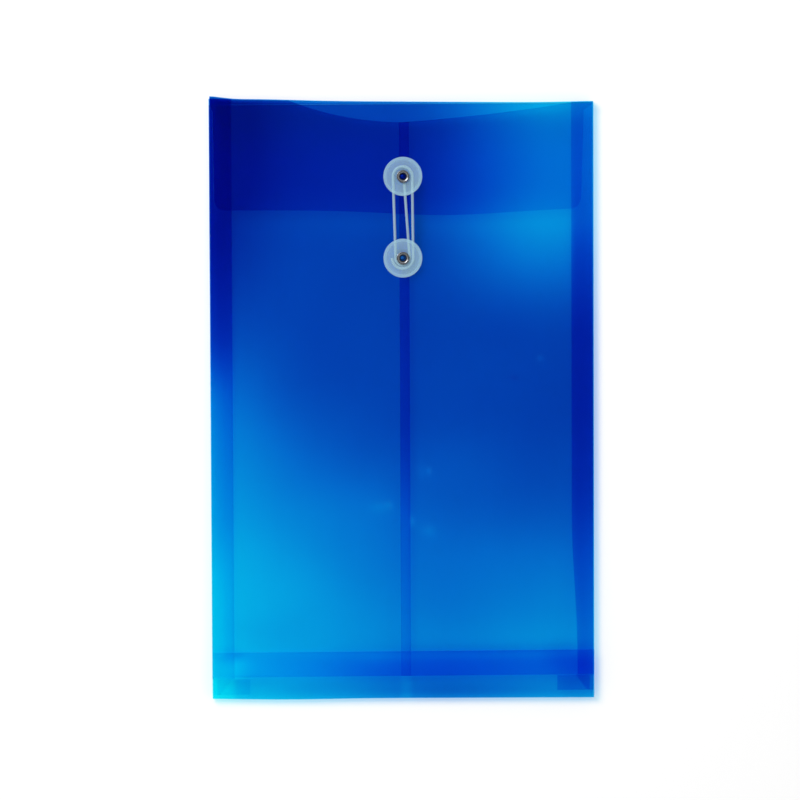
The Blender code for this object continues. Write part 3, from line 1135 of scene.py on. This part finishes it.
class ENVELOPE_OT_spools(Operator):
    """The spacers that the cord winds on, and the washers behind the film"""

    bl_idname = "envelope.spools"
    bl_label = "Spacers and washers"

    def execute(self, context):
        round_off = 0.0003
        waist = 0.0004
        for which, centre, body in BUTTONS:
            node = f"{which}_spacer"
            low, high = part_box(node)
            outer = high.x - centre.x
            profile = [(HOLE_RADIUS, low.z), (outer - round_off, low.z)]
            for share in np.linspace(0, 1, 11):
                z = low.z + round_off + (high.z - low.z - 2 * round_off) * share
                profile.append((outer - waist * math.sin(math.pi * share), z))
            profile += [(outer - round_off, high.z), (HOLE_RADIUS, high.z)]
            turned(f"{which}_spool", node, profile, centre, milky_plastic, body)

            node = f"{which}_washer"
            low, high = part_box(node)
            outer = high.x - centre.x
            edge = (high.z - low.z) / 2
            profile = [(HOLE_RADIUS, low.z), (outer - edge, low.z)]
            profile += arc((outer - edge, low.z + edge), edge, -90, 90, 5)[1:]
            profile += [(HOLE_RADIUS, high.z)]
            turned(f"{which}_backing", node, profile, centre, milky_plastic, body)
        return {"FINISHED"}


# The eyelet's throat curves from its crown down into its bore: both radii, and how deep it goes
CROWN_RADIUS = 0.00355
BORE_RADIUS = 0.00180
FUNNEL_DEPTH = 0.00250
BORE_FOOT = 0.0017  # bore's radius where it narrows to the throat
BORE_FOOT_LIFT = 0.0010  # and how far up that is
THROAT_RADIUS = 0.0010
BARREL_RADIUS = 0.0021
NECK_RADIUS = HOLE_RADIUS - 0.00005
NECK = (0.0010, 0.0006)  # how far under the flange the barrel ends and the neck begins
FLANGE_GAP = 0.0003  # between the disc and the flange
CLINCH_RADIUS = 0.0034
CLINCH_THICKNESS = 0.0003


class ENVELOPE_OT_eyelets(Operator):
    """The plated eyelets that clamp the buttons on the film"""

    bl_idname = "envelope.eyelets"
    bl_label = "Eyelets"

    def execute(self, context):
        for which, centre, body in BUTTONS:
            node = f"{which}_eyelet"
            low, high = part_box(node)
            flange = high.x - centre.x
            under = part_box(f"{which}_disc")[1].z + FLANGE_GAP
            roll = (high.z - under) / 2
            half = CLINCH_THICKNESS / 2
            clinch = low.z + CLINCH_THICKNESS
            profile = [(THROAT_RADIUS, low.z), (CLINCH_RADIUS - half, low.z)]
            profile += arc((CLINCH_RADIUS - half, low.z + half), half, -90, 90, 5)[1:]
            profile += [(BARREL_RADIUS, clinch), (BARREL_RADIUS, under - NECK[0])]
            profile += [(NECK_RADIUS, under - NECK[1]), (NECK_RADIUS, under)]
            profile += [(flange - roll, under)]
            profile += arc((flange - roll, under + roll), roll, -90, 90, 9)[1:]
            for turn in np.linspace(0, math.pi / 2, 9):
                r = CROWN_RADIUS - (CROWN_RADIUS - BORE_RADIUS) * math.sin(turn)
                profile.append((r, high.z - FUNNEL_DEPTH * (1 - math.cos(turn))))
            profile += [(BORE_FOOT, low.z + BORE_FOOT_LIFT), (THROAT_RADIUS, clinch)]
            name = f"{which}_eyelet_turned"
            turned(name, node, profile, centre, nickel_plate, body)
        return {"FINISHED"}


# The cord's route, as the solid's
SPACER_RADIUS = 0.0033
CLEAR = 0.0003  # gap between the cord and the spacer
TURN_GAP = 0.0005  # between two turns on one spacer
UPPER_LOOP_RADIUS = 0.0062  # slack loop of cord over the upper spacer
CORD_START = math.radians(-78)  # round the upper spacer, where the cord is fixed
CORD_END = math.radians(-165)  # round the lower spacer, where its last turn ends
CORD_LIFT = 0.0023  # its centre line above the film
TURN_STEP = math.radians(5)

# Its form
CORD_PITCH = 0.00025  # between the rings of its mesh
CORD_SIDES = 20
BRAID_PITCH = 0.0042
BRAID_STRANDS = 5
BRAID_RELIEF = 0.05
END_TAPER = 0.75  # how thick its ends are


def cord_route(diameter):
    """The cord's centre line: fixed on the upper spacer, down and under the lower one, up and over
    the upper one, and down again to a second turn outside the first."""
    inner = SPACER_RADIUS + CLEAR + diameter / 2
    outer = inner + diameter + TURN_GAP
    upper = Vector((UPPER.x, UPPER.y, FLAP_HIGH.z + CORD_LIFT))
    lower = Vector((LOWER.x, LOWER.y, RIGHT_HIGH.z + CORD_LIFT))
    span = upper.y - lower.y

    out = Vector((math.cos(CORD_START), math.sin(CORD_START), 0))
    fixed = upper + out * (SPACER_RADIUS + CLEAR)
    free = fixed + out * diameter
    reach = free - lower
    first = math.atan2(reach.y, reach.x) - math.acos(inner / math.hypot(reach.x, reach.y))
    left = math.pi - math.asin((inner - UPPER_LOOP_RADIUS) / span)
    right = math.asin((outer - UPPER_LOOP_RADIUS) / span)

    def turn(centre, radius, start, end):
        count = math.ceil((start - end) / TURN_STEP)
        angles = np.linspace(start, end, count + 1)
        return [centre + radius * Vector((math.cos(a), math.sin(a), 0)) for a in angles]

    under = turn(lower, inner, first, left - 2 * math.pi)
    over = turn(upper, UPPER_LOOP_RADIUS, left, right)
    last = turn(lower, outer, right, CORD_END)
    tail = last[-1] + diameter * Vector((math.sin(CORD_END), -math.cos(CORD_END), 0))
    return [fixed, free] + under + over + last + [tail]


def resampled(route, pitch):
    """The same line, at an even pitch."""
    points = np.array([tuple(p) for p in route])
    along = np.concatenate(([0], np.cumsum(np.linalg.norm(np.diff(points, axis=0), axis=1))))
    count = round(along[-1] / pitch)
    even = np.linspace(0, along[-1], count + 1)
    return np.stack([np.interp(even, along, points[:, i]) for i in range(3)], 1), along[-1]


class ENVELOPE_OT_cord(Operator):
    """The braided elastic cord, wound on both buttons"""

    bl_idname = "envelope.cord"
    bl_label = "Elastic cord"

    def execute(self, context):
        diameter = context.scene.envelope_fastening.cord_diameter
        radius = diameter / 2
        path, length = resampled(cord_route(diameter), CORD_PITCH)
        tangent = np.gradient(path, axis=0)
        tangent /= np.linalg.norm(tangent, axis=1, keepdims=True)
        flat = np.cross((0, 0, 1), tangent)
        flat /= np.linalg.norm(flat, axis=1, keepdims=True)
        up = np.cross(tangent, flat)
        along = np.linspace(0, length, len(path))
        angle = np.linspace(0, 2 * math.pi, CORD_SIDES, endpoint=False)
        lead = 2 * math.pi * along[:, None] / BRAID_PITCH
        over = np.cos(BRAID_STRANDS * angle[None, :] + lead * BRAID_STRANDS / 2)
        under = np.cos(BRAID_STRANDS * angle[None, :] - lead * BRAID_STRANDS / 2)
        lift = (np.maximum(over, under) + 1) / 2
        size = radius * (1 - BRAID_RELIEF + BRAID_RELIEF * lift)
        size[[0, -1]] *= END_TAPER
        rings = (
            path[:, None, :]
            + flat[:, None, :] * (size * np.cos(angle))[..., None]
            + up[:, None, :] * (size * np.sin(angle))[..., None]
        )
        count = len(path)
        index = np.arange(count * CORD_SIDES).reshape(count, CORD_SIDES)
        beside = np.roll(index, -1, axis=1)
        quads = np.stack([index[:-1], beside[:-1], beside[1:], index[1:]], -1).reshape(-1, 4)
        faces = quads.tolist() + [index[0].tolist()[::-1], index[-1].tolist()]
        mesh = bpy.data.meshes.new("elastic_cord_braid")
        mesh.from_pydata(rings.reshape(-1, 3).tolist(), [], faces)
        paint(mesh, "lift", lift)
        mesh.shade_smooth()
        mesh.materials.append(material("white_yarn", white_yarn))
        piece = bpy.data.objects.new("elastic_cord_braid", mesh)
        bpy.context.collection.objects.link(piece)
        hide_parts("elastic_cord")
        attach(piece, "flap")
        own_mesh(piece)
        return {"FINISHED"}


OVERHEAD = (0.80, 0.97)  # height on the sky where it begins to dim and where it is dimmest
AIM = (-0.0018, -0.0008, 0.0050)  # where the camera looks
SENSOR_WIDTH = 36.0  # millimetres
KEY_PLACE = (-1.20, 1.28, 2.08)
KEY_SIZE = 1.30
FLOOR_REACH = 4.0
FLOOR_GAP = 0.0004  # between the floor and the back


def lamp(name, place, aim, size, power):
    """A round lamp that points from its place at its aim."""
    data = bpy.data.lights.new(name, "AREA")
    data.shape = "DISK"
    data.size = size
    data.energy = power
    made = bpy.data.objects.new(name, data)
    made.location = place
    made.rotation_mode = "QUATERNION"
    made.rotation_quaternion = (Vector(aim) - Vector(place)).to_track_quat("-Z", "Y")
    bpy.context.collection.objects.link(made)


def pale_paper(tree, place):
    """Plain pale paper, lit up to white for the camera, with the shadow left on it."""
    settings = bpy.context.scene.envelope_stage
    fibre = place.noise(900.0, 3.0)
    seen = 0
    for ray in ("Is Camera Ray", "Is Glossy Ray", "Is Transmission Ray"):
        seen = seen + Wire.node(tree, "ShaderNodeLightPath", output=ray)
    return principled(
        tree,
        {
            "Base Color": fibre.between(settings.floor, [c * 0.985 for c in settings.floor]),
            "Roughness": 0.9,
            "Specular IOR Level": 0.1,
            "Emission Color": seen.clamped().between((0, 0, 0), settings.lift),
            "Emission Strength": 1.0,
        },
    )


def studio_world():
    """Soft light from all sides, dimmer straight overhead, where the camera hangs."""
    settings = bpy.context.scene.envelope_stage
    world = bpy.data.worlds.new("studio")
    world.use_nodes = True
    tree = world.node_tree
    tree.nodes.clear()
    way = Wire.node(tree, "ShaderNodeTexCoord", output="Generated")
    height = Wire.node(tree, "ShaderNodeSeparateXYZ", None, {0: way}, output="Z")
    light = height.ramp(*OVERHEAD).between(settings.sides, settings.overhead)
    sky = Wire.node(tree, "ShaderNodeBackground", None, {"Color": light, "Strength": 1.0})
    Wire.node(tree, "ShaderNodeOutputWorld", None, {"Surface": sky}, output=None)
    return world


class ENVELOPE_OT_stage(Operator):
    """Camera, lamps, world and floor"""

    bl_idname = "envelope.stage"
    bl_label = "Stage"

    def execute(self, context):
        settings = context.scene.envelope_stage
        scene = context.scene
        scene.view_settings.view_transform = "Standard"
        scene.cycles.transparent_max_bounces = 40
        scene.cycles.max_bounces = 6
        scene.cycles.diffuse_bounces = 2
        scene.cycles.glossy_bounces = 2

        data = bpy.data.cameras.new("camera")
        data.lens = settings.lens
        data.sensor_width = SENSOR_WIDTH
        distance = settings.view_width * settings.lens / SENSOR_WIDTH
        camera = bpy.data.objects.new("camera", data)
        way = Vector(
            (
                -math.sin(settings.aside) * math.cos(settings.above),
                math.sin(settings.above),
                math.cos(settings.aside) * math.cos(settings.above),
            )
        )
        camera.location = Vector(AIM) + way * distance
        camera.rotation_mode = "QUATERNION"
        right = Vector((0, 1, 0)).cross(way).normalized()
        upright = Matrix((right, way.cross(right), way)).transposed().to_quaternion()
        camera.rotation_quaternion = upright @ Quaternion((0, 0, 1), -settings.roll)
        bpy.context.collection.objects.link(camera)
        scene.camera = camera

        lamp("key", KEY_PLACE, (0, 0, 0), KEY_SIZE, settings.key)
        scene.world = studio_world()

        mesh = bpy.data.meshes.new("floor")
        level = BACK_LOW.z - FLOOR_GAP
        corners = [
            (x * FLOOR_REACH, y * FLOOR_REACH, level) for x, y in ((-1, -1), (1, -1), (1, 1), (-1, 1))
        ]
        mesh.from_pydata(corners, [], [(0, 1, 2, 3)])
        mesh.materials.append(material("pale_paper", pale_paper))
        floor = bpy.data.objects.new("floor", mesh)
        bpy.context.collection.objects.link(floor)
        return {"FINISHED"}


OPERATORS = (
    ENVELOPE_OT_stage,
    ENVELOPE_OT_cord,
    ENVELOPE_OT_back,
    ENVELOPE_OT_front,
    ENVELOPE_OT_gussets,
    ENVELOPE_OT_tabs,
    ENVELOPE_OT_flap,
    ENVELOPE_OT_discs,
    ENVELOPE_OT_spools,
    ENVELOPE_OT_eyelets,
)


class ENVELOPE_PT_pieces(Panel):
    """Lists the envelope's pieces"""

    bl_idname = "ENVELOPE_PT_pieces"
    bl_label = "Envelope"
    bl_space_type = "VIEW_3D"
    bl_region_type = "UI"
    bl_category = "Envelope"

    def draw(self, context):
        for operator in OPERATORS:
            self.layout.operator(operator.bl_idname)
        for group in (
            context.scene.envelope_film,
            context.scene.envelope_fastening,
            context.scene.envelope_stage,
        ):
            box = self.layout.box()
            for name in group.__annotations__:
                box.prop(group, name)


CLASSES = (EnvelopeFilm, EnvelopeFastening, EnvelopeStage, *OPERATORS, ENVELOPE_PT_pieces)


def register():
    for made in CLASSES:
        bpy.utils.register_class(made)
    bpy.types.Scene.envelope_film = PointerProperty(type=EnvelopeFilm)
    bpy.types.Scene.envelope_fastening = PointerProperty(type=EnvelopeFastening)
    bpy.types.Scene.envelope_stage = PointerProperty(type=EnvelopeStage)


def unregister():
    del bpy.types.Scene.envelope_stage
    del bpy.types.Scene.envelope_fastening
    del bpy.types.Scene.envelope_film
    for made in reversed(CLASSES):
        bpy.utils.unregister_class(made)


def main():
    register()
    bpy.ops.envelope.stage()
    bpy.ops.envelope.cord()
    bpy.ops.envelope.back()
    bpy.ops.envelope.front()
    bpy.ops.envelope.gussets()
    bpy.ops.envelope.tabs()
    bpy.ops.envelope.flap()
    bpy.ops.envelope.discs()
    bpy.ops.envelope.spools()
    bpy.ops.envelope.eyelets()


if __name__ == "__main__":
    main()
